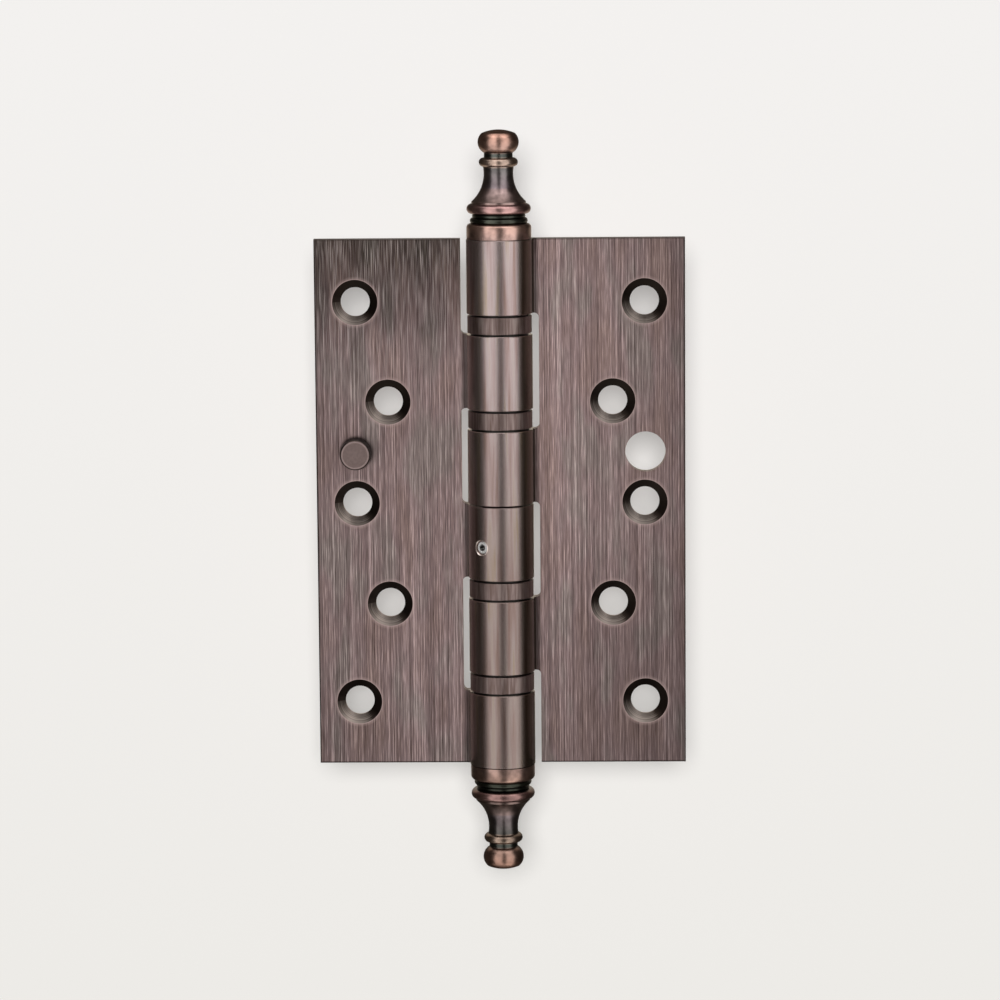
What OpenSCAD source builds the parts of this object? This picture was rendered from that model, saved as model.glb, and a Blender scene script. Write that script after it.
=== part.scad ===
// Ball bearing butt hinge with turned finials, opened flat.
// Z runs up the barrel, X across the two leaves, and the countersunk faces look towards -Y.
// The origin is on the barrel axis, halfway up the leaves. All sizes are in millimetres.

/* [Leaves] */
// Height of each leaf along the barrel
leaf_h = 127; // [110:1:160]
// Width of each leaf, from the barrel axis to its outer edge
leaf_w = 44.25; // [42:0.25:60]
// Thickness of the leaf plate, which is also the wall of each knuckle
leaf_t = 3; // [2.4:0.1:3.4]
// Space between the two countersunk faces when the hinge is closed
closed_gap = 2; // [1:0.1:3]
// Small bevel along the outer edges of the plate
leaf_bevel = 0.3; // [0.1:0.05:0.5]

/* [Barrel] */
// Diameter of the hinge pin
pin_d = 9.6; // [8:0.1:11]
// Running clearance between the pin and each knuckle, on the radius
pin_clear = 0.05; // [0.02:0.01:0.08]
// Radius of the bend behind the barrel, at the middle of the plate
swage_r = 4; // [3:0.1:5]
// Slit between the rolled end of a knuckle and its own leaf
curl_slit = 0.3; // [0.1:0.05:0.5]
// Clear slot between the barrel and the leaf beside it
slot_w = 1.5; // [1.2:0.1:3]
// Corner radius at the ends of each slot
slot_corner_r = 1.1; // [0.5:0.1:1.2]
// Gap at the plain joint in the middle of the barrel
middle_gap = 0.3; // [0.1:0.05:0.6]
// Small bevel round the ends of each knuckle
knuckle_bevel = 0.15; // [0.05:0.05:0.3]

/* [Screw holes] */
// Diameter of the straight part of each screw hole
hole_d = 7; // [5:0.1:7.2]
// Diameter of the countersink at the face of the leaf
sink_d = 10.9; // [9:0.1:11]
// Full angle of the countersink in degrees
sink_angle = 82; // [82:2:100]
// Distance of the outer row of holes from the barrel axis
outer_row_x = 34.55; // [33:0.05:36]
// Distance of the inner row of holes from the barrel axis
inner_row_x = 26.9; // [22:0.05:28]
// Distance of the end holes from the top and bottom of the leaf
end_hole_inset = 15.1; // [10:0.1:16]
// Height between the two holes of the inner row
inner_row_pitch = 48.9; // [40:0.1:52]

/* [Security stud] */
// Diameter of the stud's head
stud_d = 7.2; // [6:0.1:8]
// Height of the stud's head above the leaf
stud_h = 4.5; // [3.5:0.1:4.8]
// Diameter of the stud's shank where it goes through the leaf
stud_shank_d = 5; // [4:0.1:5.5]
// Diameter of the riveted end at the back of the leaf
stud_rivet_d = 6.4; // [5.8:0.1:7]
// Length of the riveted cone at the back of the leaf
stud_rivet_h = 0.9; // [0.5:0.1:1.5]
// Distance of the stud and its hole from the barrel axis
stud_x = 34.7; // [33:0.05:36]
// Height of the stud and its hole above the middle of the leaf
stud_z = 12.2; // [11.5:0.1:14]
// Room round the stud in its hole, on the radius
stud_hole_room = 1.25; // [0.8:0.05:1.4]

/* [Set screw] */
// Thread diameter of the set screw that locks the pin
set_d = 3; // [2.5:0.1:4]
// Length of the set screw
set_len = 2.8; // [2:0.1:3]
// Width across the flats of its hexagon socket
set_hex = 1.5; // [1.3:0.1:1.6]
// Depth of the hexagon socket
set_hex_depth = 1.5; // [0.8:0.1:1.6]
// How far the screw lies round to the left of the barrel's front, in degrees
set_angle = 37; // [20:1:60]
// How far the screw lies below the middle of its knuckle
set_drop = 0.85; // [0:0.05:4]
// Depth of the seat that the screw has in the pin
set_seat = 0.25; // [0.1:0.05:0.6]
// Width of the bevel at the mouth of the screw's hole
set_mouth = 0.4; // [0.2:0.05:0.6]

/* [Bearings] */
// Height of each bearing between two knuckles
bearing_h = 5; // [4.6:0.1:6]
// Outer diameter of the bearing shell
shell_d = 15.4; // [14.8:0.05:15.6]
// Height of the bearing shell
shell_h = 4.1; // [3.6:0.1:4.4]
// Wall of the bearing shell
shell_wall = 0.45; // [0.3:0.05:0.5]
// Width of the lip that turns in at each end of the shell
shell_lip = 0.35; // [0.2:0.05:0.5]
// Diameter of each ball
ball_d = 1.588; // [1.4:0.002:1.7]
// Number of balls in each bearing
ball_count = 16; // [12:1:18]
// Depth of the ball groove in each race
groove_depth = 0.3; // [0.2:0.05:0.4]
// Thickness of the ball cage
cage_t = 0.6; // [0.4:0.05:0.8]

/* [Finials] */
// Diameter of the collar that sits on the barrel
collar_d = 15.44; // [14:0.02:16]
// Height of the collar
collar_h = 3.6; // [3:0.1:5]
// Radius of the collar's rounded shoulder
collar_round = 1; // [0.5:0.1:1.5]
// Diameter of the step above the collar
step_d = 13.8; // [12.8:0.1:14]
// Height of the step above the collar
step_h = 1.3; // [0.8:0.1:2]
// Diameter of the ring in the groove between the step and the large bead
groove_d = 12.7; // [12:0.1:12.8]
// Height of that groove, from the step to the middle of the large bead
groove_h = 2.2; // [1.8:0.1:3]
// Diameter of the large bead
big_bead_d = 15.3; // [14:0.1:16]
// Radius of the large bead's edge
big_bead_edge = 1.2; // [0.8:0.05:1.5]
// Diameter at the foot of the bell above the large bead
bell_d = 13; // [11:0.1:13.2]
// Diameter of the waist
waist_d = 7; // [5.5:0.1:8]
// Height from the large bead to the waist
waist_h = 8.3; // [6:0.1:12]
// Height from the waist to the small bead
upper_waist_h = 2.7; // [2:0.1:5]
// Diameter of the small bead
small_bead_d = 9.3; // [8.5:0.1:11]
// Radius of the small bead's edge
small_bead_edge = 1.05; // [0.8:0.05:1.3]
// Diameter of the neck under the ball
neck_d = 6.8; // [5.6:0.1:7]
// Height from the small bead to the middle of the ball
neck_h = 4.75; // [4.2:0.05:7]
// Diameter of the ball on top
knob_d = 9.76; // [9:0.02:13]
// Height of the ball on top
knob_h = 5.9; // [5.4:0.1:8]
// Radius of the dome on the ball's crown
knob_dome_r = 10; // [6:0.5:12]
// Gap between the finial and the end knuckle
finial_gap = 0.1; // [0.05:0.05:0.4]
// Diameter of the spigot that goes into the end of the pin
spigot_d = 5; // [4:0.1:5.6]
// Length of that spigot
spigot_len = 8; // [5:0.5:12]

/* [Hidden] */
$fn = 96;

// Fits, all on the radius or along the axis
fixed_fit = 0.02;
turning_fit = 0.08;
race_bore_fit = 0.1;
ball_fit = 0.02;
pocket_fit = 0.04;

// How far a cutter runs past the face that it opens
past = 1;
// Bevel on the ends of the pin
pin_bevel = 0.4;
// Bevel round the face of the stud
stud_bevel = 0.25;
// Play under the riveted head, at the end of the spigot's bore and behind the set screw's point
end_play = 0.5;
// Bevel on the outer face of the set screw, and the cone at its point
set_bevel = 0.18;
set_point = 0.5;
// Rounding of the shell's outer edges
shell_round = 0.2;
// Height of the plain foot of the bell, above the large bead
bell_foot = 0.5;
// How far each turned ring of a finial runs into its neighbours
ring_lap = 0.1;
// Ball groove radius as a share of the ball's own
groove_conformity = 1.05;

// Finishes
plate_colour = [0.53, 0.45, 0.43];
barrel_colour = [0.60, 0.51, 0.48];
copper_colour = [0.72, 0.49, 0.40];
steel_colour = [0.74, 0.74, 0.75];
cage_colour = [0.78, 0.66, 0.38];

// Knuckles and the joints between them, counted from the top
knuckle_count = 6;
middle_joint = 3;
bearing_count = 4;
leaf_knuckles = [1, 3, 5];
set_knuckle = 4;
knuckle_h = (leaf_h - bearing_count * bearing_h - middle_gap) / knuckle_count;
bore_r = pin_d / 2 + pin_clear;
knuckle_r = bore_r + leaf_t;

function joint_h(j) = j == middle_joint ? middle_gap : bearing_h;
function knuckle_top(k) = k == 1 ? leaf_h / 2 : knuckle_top(k - 1) - knuckle_h - joint_h(k - 1);
function knuckle_base(k) = knuckle_top(k) - knuckle_h;
// Joint that a bearing fills, and the height of its lower face
function bearing_joint(n) = n < middle_joint ? n : n + 1;
function bearing_z(n) = knuckle_top(bearing_joint(n) + 1);

// Section of the plate where it leaves the barrel
front_y = closed_gap / 2;
back_y = front_y + leaf_t;
mid_r = knuckle_r - leaf_t / 2;
mid_y = front_y + leaf_t / 2;
throat_angle = acos((mid_y + swage_r) / (mid_r + swage_r));
bend_c = (mid_r + swage_r) * [sin(throat_angle), cos(throat_angle)];
bend_in_r = swage_r - leaf_t / 2;
bend_out_r = swage_r + leaf_t / 2;
// The plate thins a little where it is bent, on each face
bend_thinning = 0.02;
// Direction at which the bevel round a knuckle's ends stops, a few degrees before the bend
bevel_short = 8;
bevel_stop = 90 - throat_angle + bevel_short;
slot_x = knuckle_r + slot_w;

// Places of the screw holes as [x, z] on the right leaf
outer_z = leaf_h / 2 - end_hole_inset;
inner_z = inner_row_pitch / 2;
screw_spots = [
    [outer_row_x, outer_z], [inner_row_x, inner_z], [outer_row_x, 0],
    [inner_row_x, -inner_z], [outer_row_x, -outer_z]
];
sink_depth = (sink_d - hole_d) / 2 / tan(sink_angle / 2);

// Set screw, measured out from the barrel axis
set_z = knuckle_top(set_knuckle) - knuckle_h / 2 - set_drop;
set_seat_r = pin_d / 2 - set_seat;

// Bearing section
shell_r = shell_d / 2;
shell_in_r = shell_r - shell_wall;
lip_r = shell_in_r - shell_lip;
shell_z = (bearing_h - shell_h) / 2;
race_bore_r = pin_d / 2 + race_bore_fit;
race_t = (bearing_h - ball_d) / 2 - ball_fit + groove_depth;
pitch_r = (race_bore_r + shell_in_r) / 2;
groove_r = groove_conformity * ball_d / 2;
cage_edge = turning_fit + fixed_fit;

// Finial heights above its seat
seat_z = leaf_h / 2 + finial_gap;
step_top = collar_h + step_h;
big_bead_z = step_top + groove_h;
groove_ring_h = groove_h - big_bead_edge;
waist_z = big_bead_z + waist_h;
small_bead_z = waist_z + upper_waist_h;
knob_z = small_bead_z + neck_h;
knob_top = knob_z + knob_h / 2;
// Arc of the bell, from its foot on the large bead to the waist
bell_rise = waist_h - big_bead_edge - bell_foot;
bell_run = (bell_d - waist_d) / 2;
bell_arc_r = (bell_run * bell_run + bell_rise * bell_rise) / (2 * bell_run);

// Leaves

module past_throat() {
    // Everything below the line from the barrel axis to the middle of the bend
    reach = 4 * leaf_w;
    polygon([[0, 0], bend_c * reach / norm(bend_c), [reach, -reach], [0, -reach]]);
}

module knuckle_section() {
    // Plate rolled round the pin, turned back behind it, and run out into the leaf
    difference() {
        circle(knuckle_r);
        circle(bore_r);
        intersection() {
            translate(bend_c) circle(bend_out_r + curl_slit);
            past_throat();
        }
    }
    intersection() {
        translate(bend_c) difference() {
            circle(bend_out_r - bend_thinning);
            circle(bend_in_r + bend_thinning);
        }
        past_throat();
        translate([0, front_y]) square([bend_c[0], bend_c[1]]);
    }
    translate([bend_c[0], front_y]) square([slot_x + past - bend_c[0], leaf_t]);
}

module knuckle_end_bevel() {
    // Ring that breaks a knuckle's end edge, left out from the bend round to the slit
    reach = 2 * knuckle_r;
    difference() {
        rotate_extrude() translate([knuckle_r, 0]) rotate(45) square(knuckle_bevel * sqrt(2), center = true);
        translate([0, 0, -past])
            linear_extrude(2 * past)
            polygon([[0, 0], [reach, 0], reach * [cos(bevel_stop), sin(bevel_stop)]]);
    }
}

module knuckle(k) {
    translate([0, 0, knuckle_base(k)]) difference() {
        linear_extrude(knuckle_h) knuckle_section();
        for (z = [0, knuckle_h]) translate([0, 0, z]) knuckle_end_bevel();
    }
}

module slot_corner(k, side) {
    // Rounded corner where the slot meets a knuckle's upper (1) or lower (-1) end
    edge_z = side > 0 ? knuckle_top(k) : knuckle_base(k);
    translate([slot_x, back_y, edge_z])
        rotate([90, 0, 0])
        linear_extrude(leaf_t)
        below_edge(side)
        difference() {
            translate([-slot_corner_r, -slot_corner_r]) square([slot_corner_r + past, 2 * slot_corner_r]);
            translate([-slot_corner_r, slot_corner_r]) circle(slot_corner_r);
            translate([-2 * slot_corner_r, slot_corner_r]) square([2 * slot_corner_r, past]);
        }
}

module below_edge(side) {
    // Turns a corner drawn above an edge into the one below it
    mirror([0, side > 0 ? 0 : 1]) children();
}

module screw_hole(spot) {
    translate([spot[0], front_y, spot[1]]) rotate([-90, 0, 0]) {
        translate([0, 0, -past]) cylinder(d = hole_d, h = leaf_t + 2 * past);
        translate([0, 0, -past])
            cylinder(
                h = sink_depth + past,
                r1 = sink_d / 2 + past * tan(sink_angle / 2),
                r2 = hole_d / 2
            );
    }
}

module plate_bevels() {
    // Bevels along the outer, upper and lower edges, on both faces, from just outside the bend
    bar = leaf_bevel * sqrt(2);
    start = bend_c[0] + leaf_bevel;
    run = leaf_w + past - start;
    for (y = [front_y, back_y]) {
        translate([leaf_w, y, 0]) rotate([0, 0, 45]) cube([bar, bar, leaf_h + 2 * past], center = true);
        for (z = [-leaf_h / 2, leaf_h / 2])
            translate([start + run / 2, y, z]) rotate([45, 0, 0]) cube([run, bar, bar], center = true);
    }
}

module leaf_blank() {
    // A leaf to the right of the barrel, with everything that both leaves share
    difference() {
        union() {
            translate([slot_x, front_y, -leaf_h / 2]) cube([leaf_w - slot_x, leaf_t, leaf_h]);
            for (k = leaf_knuckles) knuckle(k);
            for (k = leaf_knuckles, side = [-1, 1])
                if (k > 1 || side < 0) slot_corner(k, side);
        }
        for (spot = screw_spots) screw_hole(spot);
        plate_bevels();
    }
}

module leaf_right() {
    color(plate_colour) difference() {
        leaf_blank();
        translate([stud_x, back_y + past, stud_z])
            rotate([90, 0, 0])
            cylinder(r = stud_d / 2 + stud_hole_room, h = leaf_t + 2 * past);
    }
}

module leaf_left() {
    // The same blank turned about, drilled for the stud's shank and tapped for the set screw
    color(plate_colour) difference() {
        rotate([0, 180, 0]) leaf_blank();
        stud_shank(fixed_fit, past);
        set_screw_hole();
    }
}

// Stud, pin and set screw

module stud_shank(fit, beyond) {
    // Shank and riveted cone, grown by a fit for the hole and run past both faces of the leaf
    translate([-stud_x, front_y, stud_z]) rotate([-90, 0, 0]) {
        translate([0, 0, -beyond]) cylinder(r = stud_shank_d / 2 + fit, h = leaf_t + 2 * beyond);
        translate([0, 0, leaf_t - stud_rivet_h])
            cylinder(h = stud_rivet_h, r1 = stud_shank_d / 2 + fit, r2 = stud_rivet_d / 2 + fit);
    }
}

module security_stud() {
    color(plate_colour) {
        translate([-stud_x, front_y, stud_z]) rotate([90, 0, 0]) {
            cylinder(d = stud_d, h = stud_h - stud_bevel);
            translate([0, 0, stud_h - stud_bevel])
                cylinder(h = stud_bevel, r1 = stud_d / 2, r2 = stud_d / 2 - stud_bevel);
        }
        stud_shank(0, 0);
    }
}

module along_set_screw() {
    // Stands children on the pin's seat, with their Z pointing out of the barrel
    translate([0, 0, set_z])
        rotate([0, 0, -90 - set_angle])
        rotate([0, 90, 0])
        translate([0, 0, set_seat_r])
        children();
}

module set_screw_hole() {
    surface = knuckle_r - set_seat_r;
    along_set_screw() {
        cylinder(r = set_d / 2 + fixed_fit, h = surface + past);
        translate([0, 0, surface - set_mouth])
            cylinder(h = set_mouth + past, r1 = set_d / 2, r2 = set_d / 2 + set_mouth + past);
    }
}

module set_screw() {
    color(steel_colour) along_set_screw() difference() {
        union() {
            cylinder(h = set_point, r1 = set_d / 2 - set_point, r2 = set_d / 2);
            translate([0, 0, set_point]) cylinder(d = set_d, h = set_len - set_point - set_bevel);
            translate([0, 0, set_len - set_bevel])
                cylinder(h = set_bevel, r1 = set_d / 2, r2 = set_d / 2 - set_bevel);
        }
        translate([0, 0, set_len - set_hex_depth])
            cylinder(d = set_hex / cos(30), h = set_hex_depth + past, $fn = 6);
    }
}

module hinge_pin() {
    length = 2 * seat_z;
    color(steel_colour) difference() {
        translate([0, 0, -seat_z]) {
            cylinder(h = pin_bevel, r1 = pin_d / 2 - pin_bevel, r2 = pin_d / 2);
            translate([0, 0, pin_bevel]) cylinder(d = pin_d, h = length - 2 * pin_bevel);
            translate([0, 0, length - pin_bevel])
                cylinder(h = pin_bevel, r1 = pin_d / 2, r2 = pin_d / 2 - pin_bevel);
        }
        for (side = [0, 180])
            rotate([side, 0, 0])
                translate([0, 0, seat_z - spigot_len - end_play])
                cylinder(r = spigot_d / 2 + fixed_fit, h = spigot_len + end_play + past);
        along_set_screw() cylinder(r = set_d / 2 + fixed_fit, h = set_seat + past);
    }
}

// Finials

module bead(diameter, edge, z) {
    // Half section of a bead with a round edge
    translate([0, z - edge]) square([diameter / 2 - edge, 2 * edge]);
    translate([diameter / 2 - edge, z]) circle(edge);
}

module bell() {
    // Half section that sweeps in from the large bead to the waist and on up to the small bead
    difference() {
        translate([0, big_bead_z]) square([bell_d / 2, small_bead_z - big_bead_z]);
        translate([waist_d / 2 + bell_arc_r, waist_z]) circle(bell_arc_r);
    }
}

module knob() {
    // Half section of the flattened ball with its domed crown
    intersection() {
        bead(knob_d, knob_h / 2, knob_z);
        translate([0, knob_top - knob_dome_r]) circle(knob_dome_r);
    }
}

module finial_section() {
    square([collar_d / 2, collar_h - collar_round]);
    square([collar_d / 2 - collar_round, collar_h]);
    translate([collar_d / 2 - collar_round, collar_h - collar_round]) circle(collar_round);
    bead(step_d, step_h / 2 + ring_lap, collar_h + step_h / 2);
    bead(groove_d, groove_ring_h / 2 + ring_lap, step_top + groove_ring_h / 2);
    bead(big_bead_d, big_bead_edge, big_bead_z);
    bell();
    bead(small_bead_d, small_bead_edge, small_bead_z);
    translate([0, small_bead_z]) square([neck_d / 2, knob_z - small_bead_z]);
    knob();
}

module finial() {
    rotate_extrude()
        intersection() {
            finial_section();
            square([collar_d, knob_top]);
        }
    translate([0, 0, -spigot_len]) cylinder(d = spigot_d, h = spigot_len + past);
}

module finial_top() {
    color(copper_colour) translate([0, 0, seat_z]) finial();
}

module finial_bottom() {
    color(copper_colour) rotate([180, 0, 0]) translate([0, 0, seat_z]) finial();
}

// Bearings

module race_form(boss_r, flange_r, flange_z) {
    // Grooved washer: a narrow boss that passes through the shell's lip, and a flange inside the shell
    rotate_extrude() difference() {
        union() {
            translate([race_bore_r, 0]) square([boss_r - race_bore_r, race_t]);
            translate([race_bore_r, flange_z]) square([flange_r - race_bore_r, race_t - flange_z]);
        }
        translate([pitch_r, race_t - groove_depth + groove_r]) circle(groove_r);
    }
}

module bearing_lower_race(n) {
    color(steel_colour)
        translate([0, 0, bearing_z(n)])
        race_form(lip_r - fixed_fit, shell_in_r - fixed_fit, shell_z + shell_wall);
}

module bearing_upper_race(n) {
    color(steel_colour)
        translate([0, 0, bearing_z(n) + bearing_h])
        rotate([180, 0, 0])
        race_form(lip_r - turning_fit, shell_in_r - turning_fit, shell_z + shell_wall + turning_fit);
}

module bearing_shell(n) {
    color(barrel_colour)
        translate([0, 0, bearing_z(n) + shell_z])
        rotate_extrude() {
            difference() {
                union() {
                    translate([lip_r, 0]) square([shell_r - shell_round - lip_r, shell_h]);
                    translate([lip_r, shell_round]) square([shell_r - lip_r, shell_h - 2 * shell_round]);
                    for (z = [shell_round, shell_h - shell_round])
                        translate([shell_r - shell_round, z]) circle(shell_round);
                }
                translate([0, shell_wall]) square([shell_in_r, shell_h - 2 * shell_wall]);
            }
        }
}

module bearing_balls(n) {
    color(steel_colour)
        translate([0, 0, bearing_z(n) + bearing_h / 2])
        for (i = [0 : ball_count - 1])
            rotate([0, 0, i * 360 / ball_count]) translate([pitch_r, 0, 0]) sphere(d = ball_d, $fn = 32);
}

module bearing_cage(n) {
    inner_r = pin_d / 2 + race_bore_fit + cage_edge;
    outer_r = shell_in_r - cage_edge;
    color(cage_colour)
        translate([0, 0, bearing_z(n) + (bearing_h - cage_t) / 2])
        difference() {
            cylinder(r = outer_r, h = cage_t);
            translate([0, 0, -past]) cylinder(r = inner_r, h = cage_t + 2 * past);
            for (i = [0 : ball_count - 1])
                rotate([0, 0, i * 360 / ball_count])
                    translate([pitch_r, 0, -past])
                    cylinder(r = ball_d / 2 + pocket_fit, h = cage_t + 2 * past);
        }
}

leaf_left();
leaf_right();
hinge_pin();
finial_top();
finial_bottom();
set_screw();
security_stud();
bearing_shell(1);  // bearing_1_shell
bearing_upper_race(1);  // bearing_1_upper_race
bearing_lower_race(1);  // bearing_1_lower_race
bearing_balls(1);  // bearing_1_balls
bearing_cage(1);  // bearing_1_cage
bearing_shell(2);  // bearing_2_shell
bearing_upper_race(2);  // bearing_2_upper_race
bearing_lower_race(2);  // bearing_2_lower_race
bearing_balls(2);  // bearing_2_balls
bearing_cage(2);  // bearing_2_cage
bearing_shell(3);  // bearing_3_shell
bearing_upper_race(3);  // bearing_3_upper_race
bearing_lower_race(3);  // bearing_3_lower_race
bearing_balls(3);  // bearing_3_balls
bearing_cage(3);  // bearing_3_cage
bearing_shell(4);  // bearing_4_shell
bearing_upper_race(4);  // bearing_4_upper_race
bearing_lower_race(4);  // bearing_4_lower_race
bearing_balls(4);  // bearing_4_balls
bearing_cage(4);  // bearing_4_cage
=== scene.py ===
"""Looks of a ball bearing butt hinge in brushed antique copper, opened flat.

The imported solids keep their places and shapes. This script gives each of them its finish, lights the
hinge with two tall soft boxes, and looks at it from a little above the middle of its barrel.
"""

import math
from collections import namedtuple

import bpy
from mathutils import Matrix, Vector

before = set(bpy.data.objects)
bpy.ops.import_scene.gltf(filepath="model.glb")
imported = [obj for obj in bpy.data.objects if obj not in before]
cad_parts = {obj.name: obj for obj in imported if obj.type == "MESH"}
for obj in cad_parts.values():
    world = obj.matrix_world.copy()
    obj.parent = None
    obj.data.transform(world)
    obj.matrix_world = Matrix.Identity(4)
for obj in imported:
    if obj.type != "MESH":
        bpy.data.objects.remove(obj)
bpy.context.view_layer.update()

MM = 0.001

# Places on the hinge that a finish depends on, from its axis or its middle
LEAF_W = 44.25 * MM
LEAF_H = 127 * MM
KNUCKLE_R = 7.85 * MM
PLATE_FRONT_Y = 1.0 * MM
SINK_R = 5.45 * MM
OUTER_ROW = 34.55 * MM
INNER_ROW = 26.9 * MM
END_HOLES_UP = 48.4 * MM
INNER_HOLES_UP = 24.45 * MM
FINIAL_SEAT_Z = 63.6 * MM
STUD_SPOT = (-34.7 * MM, 0.0, 12.2 * MM)
STUD_R = 3.6 * MM
SET_SCREW_MOUTH = (-4.73 * MM, -6.27 * MM, -9.89 * MM)
SET_SCREW_R = 1.5 * MM
SET_SCREW_SIDE = (0.8, -0.6, 0.0)
HEX_R = 0.85 * MM

# Heights on a finial, above its seat
COLLAR_TOP = 3.6 * MM
GROOVE_TOP = 6.0 * MM
LARGE_BEAD_TOP = 8.3 * MM
BELL_MIDDLE = 12 * MM
WAIST_TOP = 16.9 * MM
SMALL_BEAD_TOP = 19.2 * MM
NECK_TOP = 20.3 * MM
FINIAL_H = 25.8 * MM

# Camera
CAMERA_DISTANCE = 0.982
CAMERA_ABOVE = math.radians(7.99)
CAMERA_TURN = math.radians(-1.17)
CAMERA_ROLL = math.radians(-0.45)
CAMERA_LENS = 147.4
IMAGE_SIZE = 1000
CENTRE_RIGHT_PX = 0.96
CENTRE_DOWN_PX = 3.26

# Studio, with the board's tone changing over its height and a pale card seen in its middle by the metal
BOARD_SIZE = 3.0
BOARD_Y = 36 * MM
BOARD_PALE_Z = 0.11
BOARD_DULL_Z = -0.13
BOARD_LIGHT = 3.2
BOARD_LIGHT_UP = math.radians(11.4)
BOARD_SUN_WIDTH = math.radians(18)
SHADOW_DEPTH = 0.6
CARD_R = 55 * MM
CARD_FADE = 30 * MM
CARD_LEVEL = 0.8
SOFT_BOX_AWAY = 0.6
SOFT_BOX_TALL = 2.8
SOFT_BOX_LEVEL = 2.1
TOP_BOX_LEVEL = 0.9
DRAPE_R = 1.6
DRAPE_TURN = math.radians(150)
DRAPE_STEPS = 30
DRAPE_LEVEL = 0.07
WORLD_DULL_Z = -0.29
PALE_GREY = "#f3f1ef"
DULL_GREY = "#edebe7"
WARM_WHITE = "#fff0dc"


def linear(hex_colour):
    """Turns an sRGB hex colour into the linear RGBA that a shader takes."""
    channels = [int(hex_colour[i : i + 2], 16) / 255 for i in (1, 3, 5)]
    return [c / 12.92 if c <= 0.04045 else ((c + 0.055) / 1.055) ** 2.4 for c in channels] + [1.0]


def grey(level):
    """A neutral colour of that linear level."""
    return [level, level, level, 1.0]


def add(tree, kind, inputs=(), **settings):
    """Adds one node with its settings and its inputs.

    Inputs come in order or by name, each a node, a socket or a value. A ramp's stops are pairs of a place
    and a colour."""
    node = tree.nodes.new("ShaderNode" + kind)
    stops = settings.pop("stops", [])
    while len(stops) > 2 and len(node.color_ramp.elements) < len(stops):
        node.color_ramp.elements.new(1.0)
    for i, (place, colour) in enumerate(stops):
        node.color_ramp.elements[i].position = place
        node.color_ramp.elements[i].color = colour
    for name, value in settings.items():
        setattr(node, name, value)
    for name, value in inputs.items() if isinstance(inputs, dict) else enumerate(inputs):
        if isinstance(value, bpy.types.Node):
            value = value.outputs[0]
        if isinstance(value, bpy.types.NodeSocket):
            tree.links.new(value, node.inputs[name])
        else:
            node.inputs[name].default_value = value
    return node


def new_material(name):
    """An empty material, as (material, tree)."""
    material = bpy.data.materials.new(name)
    material.use_nodes = True
    material.node_tree.nodes.clear()
    return material, material.node_tree


# Patterns that several finishes share

Places = namedtuple("Places", "spot x y z radius round_barrel")


def hinge_places(tree):
    """A spot on the hinge, with how far it lies across, back, up, out from the axis and round it."""
    spot = add(tree, "TexCoord").outputs["Object"]
    x, y, z = add(tree, "SeparateXYZ", [spot]).outputs
    level = add(tree, "CombineXYZ", [x, y, 0.0])
    radius = add(tree, "VectorMath", [level], operation="LENGTH").outputs["Value"]
    forward = add(tree, "Math", [y, -1.0], operation="MULTIPLY")
    angle = add(tree, "Math", [x, forward], operation="ARCTAN2")
    return Places(spot, x, y, z, radius, add(tree, "Math", [angle, KNUCKLE_R], operation="MULTIPLY"))


def streaks(tree, across, up, width, length, seed, detail):
    """Noise drawn out along the brushing, from 0 to 1, in streaks of that width and length in metres."""
    columns = add(tree, "Math", [across, width], operation="DIVIDE")
    rows = add(tree, "Math", [up, length], operation="DIVIDE")
    place = add(tree, "CombineXYZ", [columns, rows, seed])
    return add(tree, "TexNoise", {"Vector": place, "Scale": 1.0, "Detail": detail})


def across_grain(tree):
    """Direction across the upright brushing on any face, in which its highlight spreads."""
    normal = add(tree, "NewGeometry").outputs["Normal"]
    sideways = add(tree, "VectorMath", [normal, (0.0, 0.0, 1.0)], operation="CROSS_PRODUCT")
    return add(tree, "VectorMath", [sideways, (0.001, 0.0, 0.0)], operation="ADD")


def from_screw_holes(tree, x, z):
    """Distance to the middle of the nearest screw hole, in metres."""
    away = add(tree, "Math", [x], operation="ABSOLUTE")
    up = add(tree, "Math", [z], operation="ABSOLUTE")
    folded = add(tree, "CombineXYZ", [away, 0.0, up])
    nearest = 1.0
    for hole_x, hole_z in ((OUTER_ROW, END_HOLES_UP), (OUTER_ROW, 0.0), (INNER_ROW, INNER_HOLES_UP)):
        hole = (hole_x, 0.0, hole_z)
        distance = add(tree, "VectorMath", [folded, hole], operation="DISTANCE").outputs["Value"]
        nearest = add(tree, "Math", [distance, nearest], operation="MINIMUM")
    return nearest


# The leaves' finish, one function for each mark on it, painted shade and highlights among them


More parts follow.
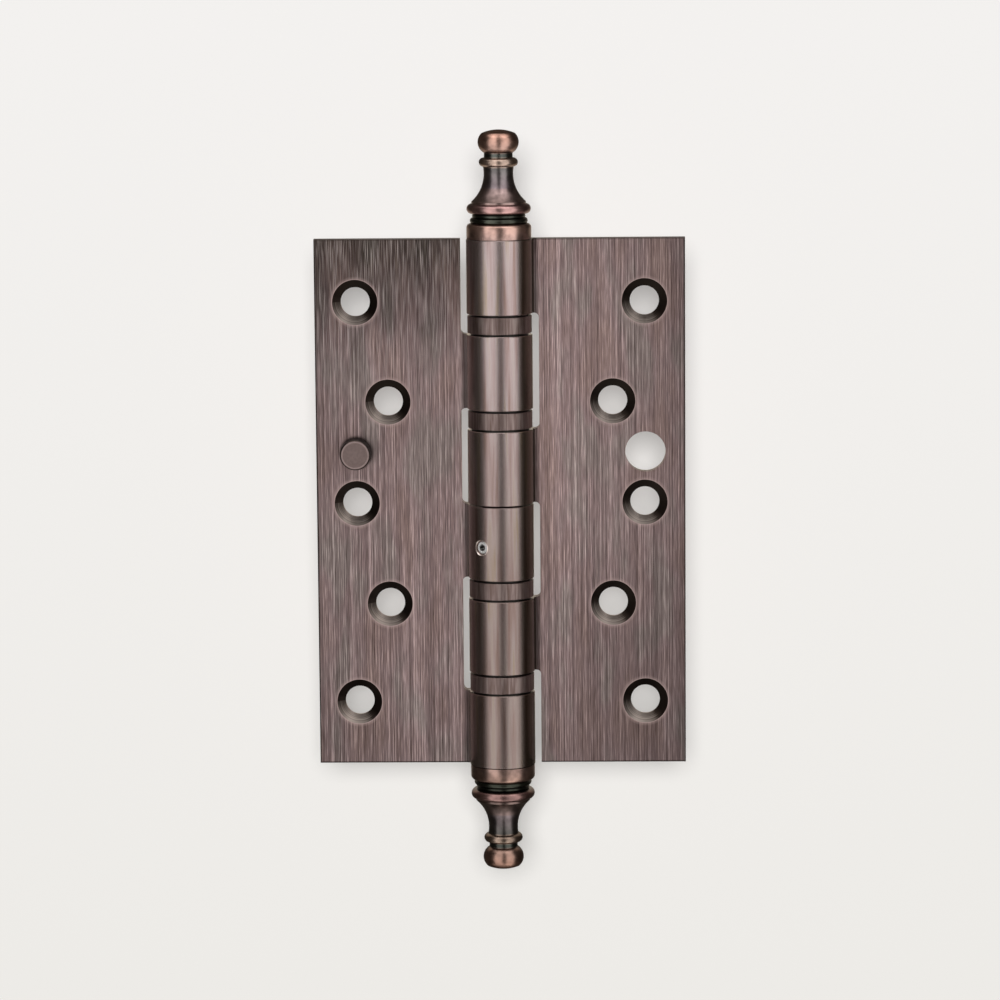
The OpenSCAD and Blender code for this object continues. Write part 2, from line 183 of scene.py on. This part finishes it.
def belt_brushed(tree, places, across):
    """Mauve streaks of bare copper between dark ones, as (colour, fine streaks, a ragged share of the
    height).

    The belt's own scratches are too fine to show, so the narrowest are drawn 0.12 mm wide."""
    z = places.z
    fine = streaks(tree, across, z, width=0.12 * MM, length=5 * MM, seed=1.7, detail=3.0)
    broad = streaks(tree, across, z, width=0.24 * MM, length=90 * MM, seed=5.3, detail=3.0)
    cloud = streaks(tree, places.x, z, width=7 * MM, length=22 * MM, seed=9.1, detail=2.0)
    grain = add(tree, "Mix", {"Factor": 0.5, "A": fine, "B": broad})
    streaked = add(
        tree, "ValToRGB", [grain],
        stops=[
            (0.33, linear("#3d3534")), (0.45, linear("#665958")),
            (0.54, linear("#7a6c6b")), (0.66, linear("#b0a09e")),
        ],
    )
    tint = add(
        tree, "ValToRGB", [cloud],
        stops=[(0.33, linear("#b2998a")), (0.5, linear("#bcabab")), (0.62, linear("#abb1a8"))],
    )
    leaf = add(tree, "MixRGB", [0.35, streaked, tint], blend_type="OVERLAY")
    ragged = add(tree, "Math", [cloud, broad], operation="ADD")
    height = add(tree, "MapRange", [z, -LEAF_H / 2, LEAF_H / 2, -0.22, 0.78])
    climb = add(tree, "Math", [ragged, 0.22, height], operation="MULTIPLY_ADD")
    return leaf, fine, climb


def uneven_tone(tree, places, leaf, climb):
    """The left leaf is darker and greyer at its top. Both leaves are darker low down and at their outer
    edges, and palest beside the barrel.
    """
    left_tone = add(
        tree, "ValToRGB", [climb],
        stops=[
            (0.0, grey(0.78)), (0.2, grey(0.92)), (0.5, grey(1.0)), (0.76, grey(0.95)),
            (0.87, grey(0.52)), (0.97, linear("#8b8d87")),
        ],
    )
    right_tone = add(
        tree, "ValToRGB", [climb],
        stops=[
            (0.0, grey(0.66)), (0.25, grey(0.8)), (0.5, grey(1.0)),
            (0.8, grey(1.0)), (1.0, grey(0.92)),
        ],
    )
    on_right = add(tree, "Math", [places.x, 0.0], operation="GREATER_THAN")
    by_height = add(tree, "MixRGB", [on_right, left_tone, right_tone])
    outward = add(
        tree, "ValToRGB", [add(tree, "MapRange", [places.x, -LEAF_W, LEAF_W])],
        stops=[(0.0, grey(0.86)), (0.41, grey(1.22)), (0.59, grey(1.42)), (1.0, grey(0.86))],
    )
    tone = add(tree, "MixRGB", [1.0, by_height, outward], blend_type="MULTIPLY")
    return add(tree, "MixRGB", [1.0, leaf, tone], blend_type="MULTIPLY")


def scratched_through(tree, places, across, leaf, climb):
    """Deeper scratches show bare through the oxide at the top of the left leaf."""
    scratch = streaks(tree, across, places.z, width=0.13 * MM, length=9 * MM, seed=7.7, detail=1.0)
    bare = add(tree, "MapRange", [scratch, 0.55, 0.7], clamp=True)
    oxide = add(tree, "MapRange", [climb, 0.62, 0.85, 0.0, 0.6], clamp=True)
    on_left = add(tree, "Math", [places.x, 0.0], operation="LESS_THAN")
    bare = add(tree, "Math", [bare, oxide], operation="MULTIPLY")
    bare = add(tree, "Math", [bare, on_left], operation="MULTIPLY")
    return add(tree, "MixRGB", [bare, leaf, linear("#a89c99")])


def shaded_outline(tree, places, leaf):
    """Painted shade along the leaf's outer edges, where the bevel turns away from the light."""
    away = add(tree, "Math", [places.x], operation="ABSOLUTE")
    up = add(tree, "Math", [places.z], operation="ABSOLUTE")
    to_side = add(tree, "Math", [LEAF_W, away], operation="SUBTRACT")
    to_end = add(tree, "Math", [LEAF_H / 2, up], operation="SUBTRACT")
    to_edge = add(tree, "Math", [to_side, to_end], operation="MINIMUM")
    # Painted shade, darkest right at the edge
    edge_shade = add(tree, "MapRange", [to_edge, 0.1 * MM, 0.5 * MM, 0.75, 0.0], clamp=True)
    return add(tree, "MixRGB", [edge_shade, leaf, linear("#2b2522")])


def plain_walls(tree, places, leaf, not_back):
    """Walls of the slots and of the leaf's edges, behind its front face, that no belt reached."""
    past_bevel = PLATE_FRONT_Y + 0.4 * MM
    behind = add(
        tree, "MapRange", [places.y, PLATE_FRONT_Y + 0.1 * MM, past_bevel, 0.0, 0.75], clamp=True,
    )
    wall = add(tree, "Math", [behind, not_back], operation="MULTIPLY")
    return add(tree, "MixRGB", [wall, leaf, linear("#7a706b")])


def countersink_oxide_and_highlights(tree, places, leaf, facing, not_back):
    """Oxide fills each countersink but for a painted highlight in a crescent on its upward-facing wall.
    Its rim is drawn pale, as bare copper and as the painted highlight of its rounded edge.
    """
    hole = from_screw_holes(tree, places.x, places.z)
    # Pale ring at the rim: bare copper with the painted highlight of the rounded edge
    rim = add(
        tree, "ValToRGB", [add(tree, "MapRange", [hole, SINK_R - 0.2 * MM, SINK_R + 0.8 * MM])],
        stops=[(0.0, grey(0.0)), (0.2, grey(0.8)), (0.36, grey(0.25)), (1.0, grey(0.0))],
    )
    rim = add(tree, "MixRGB", [1.0, rim, not_back], blend_type="MULTIPLY")
    leaf = add(tree, "MixRGB", [rim, leaf, linear("#ab9692")])
    # Painted highlight: a crescent on the walls facing up, where they would catch the light from above
    lower_left = add(tree, "VectorMath", [facing, (0.45, 0.0, 0.89)], operation="DOT_PRODUCT")
    wear_and_highlight = add(tree, "MapRange", [lower_left.outputs["Value"], 0.1, 0.8, 0.0, 1.1], clamp=True)
    rings = add(tree, "CombineXYZ", [hole, 0.0, 0.0])
    cut = add(tree, "TexNoise", {"Vector": rings, "Scale": 1 / (0.25 * MM)})
    patchy = add(tree, "Math", [wear_and_highlight, cut], operation="MULTIPLY")
    sunk = add(
        tree, "ValToRGB", [patchy],
        stops=[(0.0, linear("#1f1815")), (0.18, linear("#332b27")), (0.55, linear("#9a8f88"))],
    )
    in_sink = add(tree, "MapRange", [hole, SINK_R, SINK_R - 0.08 * MM], clamp=True)
    in_sink = add(tree, "Math", [in_sink, not_back], operation="MULTIPLY")
    return add(tree, "MixRGB", [in_sink, leaf, sunk])


def shade_round_stud(tree, places, leaf):
    """Painted shade on the leaf in a ring round the foot of the stud."""
    level_spot = add(tree, "CombineXYZ", [places.x, 0.0, places.z])
    from_stud = add(tree, "VectorMath", [level_spot, STUD_SPOT], operation="DISTANCE").outputs["Value"]
    # Painted shade, darkest against the stud
    stud_shade = add(tree, "MapRange", [from_stud, STUD_R, STUD_R + 0.7 * MM, 0.85, 0.0], clamp=True)
    return add(tree, "MixRGB", [stud_shade, leaf, linear("#15120f")])


def polished_knuckles(tree, places):
    """Colour of the knuckles, polished round and duller towards the bottom, with painted shade down
    their right side.
    """
    z, round_barrel = places.z, places.round_barrel
    polish = streaks(tree, round_barrel, z, width=1.5 * MM, length=30 * MM, seed=2.9, detail=4.0)
    polished = add(
        tree, "ValToRGB", [polish],
        stops=[
            (0.32, linear("#75625c")), (0.44, linear("#827270")),
            (0.56, linear("#8a7e7c")), (0.70, linear("#857669")),
        ],
    )
    by_height = add(
        tree, "ValToRGB", [add(tree, "MapRange", [z, -FINIAL_SEAT_Z, FINIAL_SEAT_Z])],
        stops=[(0.0, linear("#dad8d2")), (0.4, linear("#dad7d2")), (0.75, grey(1.0)), (1.0, grey(1.1))],
    )
    polished = add(tree, "MixRGB", [1.0, polished, by_height], blend_type="MULTIPLY")
    # Painted shade down the right side of the knuckles
    shaded_side = add(tree, "MapRange", [round_barrel, 5.0 * MM, 6.4 * MM], clamp=True)
    duller = add(tree, "MixRGB", [shaded_side, grey(1.0), linear("#b3b0a2")])
    return add(tree, "MixRGB", [1.0, polished, duller], blend_type="MULTIPLY")


def seam_and_shaded_crease(tree, places, colour):
    """The dark seam between a leaf and its knuckles, with painted shade in the crease there."""
    # Dark seam with painted shade in the concave crease
    seam_and_shade = add(
        tree, "ValToRGB", [add(tree, "MapRange", [places.radius, KNUCKLE_R - 1 * MM, KNUCKLE_R + 2 * MM])],
        stops=[
            (0.0, grey(1.0)), (0.35, grey(1.0)), (0.42, grey(0.45)),
            (0.62, grey(0.4)), (0.82, grey(1.0)),
        ],
    )
    return add(tree, "MixRGB", [1.0, colour, seam_and_shade], blend_type="MULTIPLY")


def bare_mouth(tree, places, colour):
    """Bare metal round the mouth of the set screw's hole."""
    mouth = add(tree, "VectorMath", [places.spot, SET_SCREW_MOUTH], operation="DISTANCE").outputs["Value"]
    bare = add(
        tree, "ValToRGB", [add(tree, "MapRange", [mouth, SET_SCREW_R, SET_SCREW_R + 0.5 * MM])],
        stops=[(0.3, grey(0.0)), (0.45, grey(1.0)), (0.85, grey(1.0)), (0.95, grey(0.0))],
    )
    return add(tree, "MixRGB", [bare, colour, linear("#b3a8a2")])


def brushed_antique_copper():
    """Steel leaves plated with copper, blackened, then brushed upright on a belt and lacquered.

    The belt lays the copper bare in fine mauve streaks and leaves the dark oxide between them and in the
    countersinks. The rolled knuckles were polished round, so they are smoother and show the lights as
    bands."""
    material, tree = new_material("brushed antique copper plate")
    places = hinge_places(tree)
    barrel = add(
        tree, "MapRange", [places.radius, KNUCKLE_R + 0.6 * MM, KNUCKLE_R + 0.2 * MM], clamp=True,
        interpolation_type="SMOOTHSTEP",
    )
    across = add(tree, "Mix", {"Factor": barrel, "A": places.x, "B": places.round_barrel})
    facing = add(tree, "TexCoord").outputs["Normal"]
    facing_back = add(tree, "SeparateXYZ", [facing]).outputs["Y"]
    not_back = add(tree, "Math", [facing_back, 0.7], operation="LESS_THAN")

    leaf, fine, climb = belt_brushed(tree, places, across)
    leaf = uneven_tone(tree, places, leaf, climb)
    leaf = scratched_through(tree, places, across, leaf, climb)
    leaf = shaded_outline(tree, places, leaf)
    leaf = plain_walls(tree, places, leaf, not_back)
    leaf = countersink_oxide_and_highlights(tree, places, leaf, facing, not_back)
    leaf = shade_round_stud(tree, places, leaf)
    colour = add(tree, "MixRGB", [barrel, leaf, polished_knuckles(tree, places)])
    colour = seam_and_shaded_crease(tree, places, colour)
    colour = bare_mouth(tree, places, colour)

    brushed_rough = add(tree, "MapRange", [fine, 0.3, 0.7, 0.48, 0.36])
    roughness = add(tree, "Mix", {"Factor": barrel, "A": brushed_rough, "B": 0.27})
    depth = add(tree, "MapRange", [barrel, 0.0, 1.0, 0.35, 0.04])
    bump = add(tree, "Bump", {"Strength": depth, "Distance": 0.02 * MM, "Height": fine})
    shader = add(
        tree, "BsdfPrincipled",
        {
            "Base Color": colour, "Metallic": 1.0, "Roughness": roughness, "Anisotropic": 0.5,
            "Tangent": across_grain(tree), "Normal": bump,
        },
    )
    add(tree, "OutputMaterial", [shader])
    return material


# Finishes of the other pieces


def turned_antique_copper():
    """Turned brass finials, plated with copper and blackened, then rubbed back on their beads.

    The beads show warm bare copper, the bell a greyer one, and the grooves stay a greenish black. The
    lower finial is drawn duller. The rings that the turning tool leaves are too fine to show, so they
    are drawn about 0.4 mm apart."""
    material, tree = new_material("turned antique copper")
    at = add(tree, "TexCoord").outputs["Object"]
    z = add(tree, "SeparateXYZ", [at]).outputs["Z"]
    rise = add(tree, "Math", [z], operation="ABSOLUTE")
    share = add(tree, "MapRange", [rise, FINIAL_SEAT_Z, FINIAL_SEAT_Z + FINIAL_H])
    # Each band's lower edge, its colour low down and its colour higher up
    bands = [
        (0.0, "#a48880", "#a8887c"),
        (COLLAR_TOP, "#45473f", "#3c3e38"),
        (GROOVE_TOP, "#9b7a76", "#977673"),
        (LARGE_BEAD_TOP, "#86726d", "#7d6b69"),
        (BELL_MIDDLE, "#73676a", "#625f5d"),
        (WAIST_TOP, "#a38d80", "#9f8b7e"),
        (SMALL_BEAD_TOP, "#4a4c48", "#4a4c48"),
        (NECK_TOP, "#a5877c", "#a17a6b"),
    ]
    edges = [band[0] for band in bands[1:]] + [FINIAL_H]
    soft = 0.2 * MM
    stops = []
    for (low, lower, upper), high in zip(bands, edges):
        stops.append(((low + soft) / FINIAL_H, linear(lower)))
        stops.append(((high - soft) / FINIAL_H, linear(upper)))
    tone = add(tree, "ValToRGB", [share], stops=stops)
    patches = add(tree, "TexNoise", {"Vector": at, "Scale": 1 / (2.5 * MM), "Detail": 3.0})
    wear_and_highlight = add(tree, "ValToRGB", [patches], stops=[(0.35, grey(0.55)), (0.62, grey(1.05))])
    colour = add(tree, "MixRGB", [1.0, tone, wear_and_highlight], blend_type="MULTIPLY")
    lower = add(tree, "Math", [z, 0.0], operation="LESS_THAN")
    duller = add(tree, "MixRGB", [lower, grey(1.0), linear("#cfcfcc")])
    colour = add(tree, "MixRGB", [1.0, colour, duller], blend_type="MULTIPLY")
    turning = add(
        tree, "TexWave", {"Vector": at, "Scale": 1 / (1.2 * MM), "Distortion": 0.6}, bands_direction="Z",
    )
    bump = add(tree, "Bump", {"Strength": 0.1, "Distance": 0.01 * MM, "Height": turning})
    shader = add(
        tree, "BsdfPrincipled",
        {"Base Color": colour, "Metallic": 1.0, "Roughness": 0.29, "Normal": bump},
    )
    add(tree, "OutputMaterial", [shader])
    return material


def smooth_antique_copper():
    """Turned stud, plated as the leaf it stands in, smooth and greyish, with a painted highlight on its
    bevel and painted shade at its outer edge.
    """
    material, tree = new_material("smooth antique copper stud")
    at = add(tree, "TexCoord").outputs["Object"]
    level_spot = add(tree, "VectorMath", [at, (1.0, 0.0, 1.0)], operation="MULTIPLY")
    off_axis = add(tree, "VectorMath", [level_spot, STUD_SPOT], operation="DISTANCE").outputs["Value"]
    reach = add(tree, "MapRange", [off_axis, 0.0, STUD_R])
    # The face, then a painted highlight on the bevel and painted shade at the outer edge
    face_and_painted_rims = add(
        tree, "ValToRGB", [reach],
        stops=[
            (0.0, linear("#6b5d5a")), (0.8, linear("#675956")), (0.88, linear("#8a7976")),
            (0.95, linear("#4a413d")), (0.99, linear("#171411")),
        ],
    )
    mottle = add(tree, "TexNoise", {"Vector": at, "Scale": 1 / (0.7 * MM), "Detail": 3.0})
    uneven = add(tree, "ValToRGB", [mottle], stops=[(0.35, grey(0.86)), (0.65, grey(1.0))])
    colour = add(tree, "MixRGB", [1.0, face_and_painted_rims, uneven], blend_type="MULTIPLY")
    shader = add(tree, "BsdfPrincipled", {"Base Color": colour, "Metallic": 1.0, "Roughness": 0.45})
    add(tree, "OutputMaterial", [shader])
    return material


def satin_antique_copper():
    """Drawn sheet of the bearing shells, plated as the rest but left satin, so it looks flat."""
    material, tree = new_material("satin antique copper shell")
    places = hinge_places(tree)
    z, round_barrel = places.z, places.round_barrel
    fine = streaks(tree, round_barrel, z, width=0.6 * MM, length=8 * MM, seed=3.9, detail=3.0)
    colour = add(
        tree, "ValToRGB", [fine],
        stops=[(0.3, linear("#51433e")), (0.5, linear("#645653")), (0.7, linear("#766965"))],
    )
    shader = add(tree, "BsdfPrincipled", {"Base Color": colour, "Metallic": 1.0, "Roughness": 0.42})
    add(tree, "OutputMaterial", [shader])
    return material


def set_screw_steel():
    """Zinc plated steel of the small set screw, bright on its end, with painted shade
    down in its hexagon socket.
    """
    material, tree = new_material("zinc plated set screw steel")
    at = add(tree, "TexCoord").outputs["Object"]
    x, y, z = add(tree, "SeparateXYZ", [at]).outputs
    level = add(tree, "CombineXYZ", [x, y, 0.0])
    aside = add(tree, "VectorMath", [level, SET_SCREW_SIDE], operation="DOT_PRODUCT").outputs["Value"]
    up = add(tree, "Math", [z, -SET_SCREW_MOUTH[2]], operation="ADD")
    on_end = add(tree, "CombineXYZ", [aside, up, 0.0])
    off_axis = add(tree, "VectorMath", [on_end], operation="LENGTH").outputs["Value"]
    # Painted shade down in the hexagon socket
    socket_shade = add(tree, "MapRange", [off_axis, HEX_R, HEX_R - 0.1 * MM], clamp=True)
    polish = add(tree, "TexNoise", {"Vector": at, "Scale": 1 / (0.4 * MM), "Detail": 3.0})
    plating = add(tree, "ValToRGB", [polish], stops=[(0.35, grey(0.75)), (0.65, grey(1.0))])
    colour = add(tree, "MixRGB", [socket_shade, plating, linear("#3c3935")])
    shader = add(tree, "BsdfPrincipled", {"Base Color": colour, "Metallic": 1.0, "Roughness": 0.45})
    add(tree, "OutputMaterial", [shader])
    return material


def machined(name, hex_colour, roughness):
    """Machined metal with a faint uneven polish, such as pins, races and balls have."""
    material, tree = new_material(name)
    at = add(tree, "TexCoord").outputs["Object"]
    polish = add(tree, "TexNoise", {"Vector": at, "Scale": 1 / (0.8 * MM), "Detail": 4.0})
    rough = add(tree, "MapRange", [polish, 0.3, 0.7, roughness * 0.8, roughness * 1.2])
    tone = add(tree, "ValToRGB", [polish], stops=[(0.3, grey(0.8)), (0.7, grey(1.0))])
    colour = add(tree, "MixRGB", [1.0, linear(hex_colour), tone], blend_type="MULTIPLY")
    shader = add(tree, "BsdfPrincipled", {"Base Color": colour, "Metallic": 1.0, "Roughness": rough})
    add(tree, "OutputMaterial", [shader])
    return material


def dress(material, *names):
    """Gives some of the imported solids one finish."""
    for name in names:
        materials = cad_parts[name].data.materials
        materials.clear()
        materials.append(material)


BEARINGS = range(1, 5)

dress(brushed_antique_copper(), "leaf_left", "leaf_right")
dress(smooth_antique_copper(), "security_stud")
dress(turned_antique_copper(), "finial_top", "finial_bottom")
dress(satin_antique_copper(), *[f"bearing_{n}_shell" for n in BEARINGS])
dress(set_screw_steel(), "set_screw")
dress(machined("blackened pin steel", "#262422", 0.4), "hinge_pin")
dress(
    machined("blackened race steel", "#2a2826", 0.4),
    *[f"bearing_{n}_{side}_race" for n in BEARINGS for side in ("upper", "lower")],
)
dress(machined("polished ball steel", "#d4d4d2", 0.1), *[f"bearing_{n}_balls" for n in BEARINGS])
dress(machined("stamped cage brass", "#c9a862", 0.3), *[f"bearing_{n}_cage" for n in BEARINGS])


# Studio


def put(thing, name):
    """Gives some data an object in the scene."""
    placed = bpy.data.objects.new(name, thing)
    bpy.context.scene.collection.objects.link(placed)
    return placed


def group_of(name, members):
    """A collection that a lamp's light can be kept to."""
    group = bpy.data.collections.new(name)
    for member in members:
        group.objects.link(member)
    return group


def soft_box(name, turn, rise, width, tall, level, lit):
    """A rectangular soft light, for one group of things alone.

    It is turned round the hinge and raised above it by degrees. At level 1 it looks as bright as a white
    card in full light."""
    light = bpy.data.lights.new(name, "AREA")
    light.shape = "RECTANGLE"
    light.size = width
    light.size_y = tall
    light.energy = level * math.pi * width * tall
    lamp = put(light, name)
    turn, rise = math.radians(turn), math.radians(rise)
    towards = Vector((math.sin(turn) * math.cos(rise), -math.cos(turn) * math.cos(rise), math.sin(rise)))
    lamp.location = SOFT_BOX_AWAY * towards
    lamp.rotation_euler = towards.to_track_quat("Z", "Y").to_euler()
    lamp.light_linking.receiver_collection = lit


def back_board():
    """A pale board behind the hinge, clear of the leaf when it folds back, that takes its shadow.

    It can't be seen from behind, so that the back of the hinge can. In the metal it shows as dark cloth
    with a pale card behind the leaves."""
    half = BOARD_SIZE / 2
    mesh = bpy.data.meshes.new("back board")
    corners = [(-half, 0, -half), (half, 0, -half), (half, 0, half), (-half, 0, half)]
    mesh.from_pydata(corners, [], [(0, 1, 2, 3)])
    board = put(mesh, "back board")
    board.location.y = BOARD_Y
    material, tree = new_material("pale board")
    at = add(tree, "TexCoord").outputs["Object"]
    up = add(tree, "SeparateXYZ", [at]).outputs["Z"]
    down = add(tree, "MapRange", [up, BOARD_PALE_Z, BOARD_DULL_Z], clamp=True)
    pale = add(tree, "MixRGB", [down, linear(PALE_GREY), linear(DULL_GREY)])
    seen = add(tree, "BsdfDiffuse", [pale])
    from_middle = add(tree, "VectorMath", [at], operation="LENGTH").outputs["Value"]
    levels = [from_middle, CARD_R, CARD_R + CARD_FADE, CARD_LEVEL, DRAPE_LEVEL]
    card = add(tree, "Emission", [linear(WARM_WHITE), add(tree, "MapRange", levels, clamp=True)])
    mirrored = add(tree, "LightPath").outputs["Is Glossy Ray"]
    front = add(tree, "MixShader", [mirrored, seen, card])
    from_behind = add(tree, "NewGeometry").outputs["Backfacing"]
    clear = add(tree, "BsdfTransparent")
    add(tree, "OutputMaterial", [add(tree, "MixShader", [from_behind, front, clear])])
    mesh.materials.append(material)
    return board


def board_light(name, strength, casts):
    """Even light on the board alone, soft where it casts the hinge's shadow."""
    light = bpy.data.lights.new(name, "SUN")
    light.energy = strength
    light.angle = BOARD_SUN_WIDTH
    light.use_shadow = casts
    lamp = put(light, name)
    lamp.rotation_euler = (math.pi / 2 - BOARD_LIGHT_UP, 0.0, 0.0)
    lamp.light_linking.receiver_collection = board


def dark_drape():
    """Dark cloth round the lights, open behind the hinge, which the metal shows between and beside them."""
    steps = DRAPE_STEPS
    rim = [DRAPE_TURN * (2 * i / steps - 1) for i in range(steps + 1)]
    corners = [
        (DRAPE_R * math.sin(t), -DRAPE_R * math.cos(t), side * DRAPE_R) for side in (-1, 1) for t in rim
    ]
    faces = [(i, i + 1, i + steps + 2, i + steps + 1) for i in range(steps)]
    mesh = bpy.data.meshes.new("dark drape")
    mesh.from_pydata(corners, [], faces)
    drape = put(mesh, "dark drape")
    drape.visible_camera = False
    drape.visible_diffuse = False
    drape.visible_shadow = False
    material, tree = new_material("dark cloth")
    add(tree, "OutputMaterial", [add(tree, "Emission", [linear(WARM_WHITE), DRAPE_LEVEL])])
    mesh.materials.append(material)


def pale_world():
    """Pale surroundings, a little darker towards the ground, for the camera and for what metal reflects."""
    world = bpy.data.worlds.new("studio")
    bpy.context.scene.world = world
    world.use_nodes = True
    tree = world.node_tree
    tree.nodes.clear()
    path = add(tree, "LightPath")
    seen = path.outputs["Is Camera Ray"]
    for ray in ("Is Glossy Ray", "Is Transmission Ray"):
        seen = add(tree, "Math", [seen, path.outputs[ray]], operation="MAXIMUM")
    up = add(tree, "SeparateXYZ", [add(tree, "TexCoord").outputs["Generated"]]).outputs["Z"]
    down = add(tree, "MapRange", [up, 0.0, WORLD_DULL_Z], clamp=True)
    pale = add(tree, "MixRGB", [down, linear(PALE_GREY), linear(DULL_GREY)])
    add(tree, "OutputWorld", {"Surface": add(tree, "Background", [pale, seen])})


def camera():
    """The camera, a little above the barrel's middle and turned a hair to its left."""
    data = bpy.data.cameras.new("camera")
    data.lens = CAMERA_LENS
    data.shift_x = -CENTRE_RIGHT_PX / IMAGE_SIZE
    data.shift_y = CENTRE_DOWN_PX / IMAGE_SIZE
    eye = put(data, "camera")
    ahead = Vector((
        math.sin(CAMERA_TURN) * math.cos(CAMERA_ABOVE),
        math.cos(CAMERA_TURN) * math.cos(CAMERA_ABOVE),
        -math.sin(CAMERA_ABOVE),
    ))
    level = Vector((math.cos(CAMERA_TURN), -math.sin(CAMERA_TURN), 0.0))
    over = level.cross(ahead)
    right = level * math.cos(CAMERA_ROLL) + over * math.sin(CAMERA_ROLL)
    up = over * math.cos(CAMERA_ROLL) - level * math.sin(CAMERA_ROLL)
    turn = Matrix((right, up, -ahead)).transposed().to_4x4()
    eye.matrix_world = Matrix.Translation(-ahead * CAMERA_DISTANCE) @ turn
    bpy.context.scene.camera = eye


hinge = group_of("hinge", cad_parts.values())
for side, turn, width in (("left", -31, 0.52), ("right", 41.5, 0.56)):
    soft_box(f"{side} soft box", turn, 0, width, tall=SOFT_BOX_TALL, level=SOFT_BOX_LEVEL, lit=hinge)
soft_box("top soft box", turn=0, rise=85, width=0.9, tall=0.6, level=TOP_BOX_LEVEL, lit=hinge)

board = group_of("board", [back_board()])
board_light("board key", BOARD_LIGHT * SHADOW_DEPTH, casts=True)
board_light("board fill", BOARD_LIGHT * (1 - SHADOW_DEPTH), casts=False)

dark_drape()
pale_world()
camera()
bpy.context.scene.view_settings.view_transform = "Standard"
